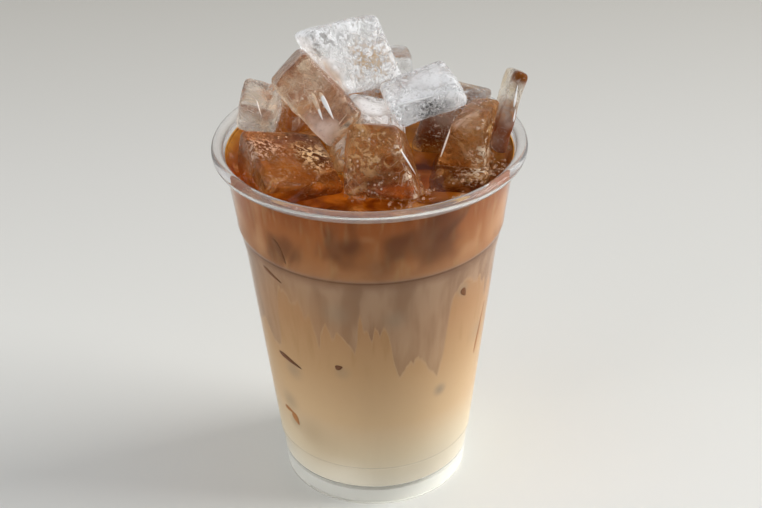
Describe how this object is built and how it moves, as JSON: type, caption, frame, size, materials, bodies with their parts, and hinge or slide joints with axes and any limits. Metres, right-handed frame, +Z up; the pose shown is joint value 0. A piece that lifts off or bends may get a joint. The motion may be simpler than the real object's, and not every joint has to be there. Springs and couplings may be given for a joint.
{
  "type": "iced coffee",
  "caption": "Layered iced milk coffee in a clear tapered cup with a rolled rim, heaped with clear ice standing out of the drink.",
  "frame": {"origin": "middle of the cup's foot, on the table", "axes": "+Z up along the cup's axis, -Y towards the front as the picture shows it"},
  "size_m": [0.098, 0.098, 0.1522],
  "materials": {
    "cup": "thin clear plastic, glossy",
    "coffee_layer": "coffee, wet and glossy",
    "mixed_layer": "coffee running down into milk",
    "milk_layer": "milk with a little coffee in it",
    "ice": "melting ice, clear with frosted patches"
  },
  "bodies": {
    "root": {"cup": "cup", "coffee_layer": "coffee_layer", "mixed_layer": "mixed_layer", "milk_layer": "milk_layer", "ice_top_slab": "ice", "ice_tall_cube": "ice", "ice_bridge_slab": "ice", "ice_shard": "ice", "ice_front_cube": "ice", "ice_front_left_cube": "ice", "ice_left_piece": "ice", "ice_right_cube": "ice", "ice_middle_cube": "ice", "ice_low_right_cube": "ice", "ice_back_cube": "ice", "ice_back_right_cube": "ice", "ice_back_left_cube": "ice"}
  },
  "joints": []
}
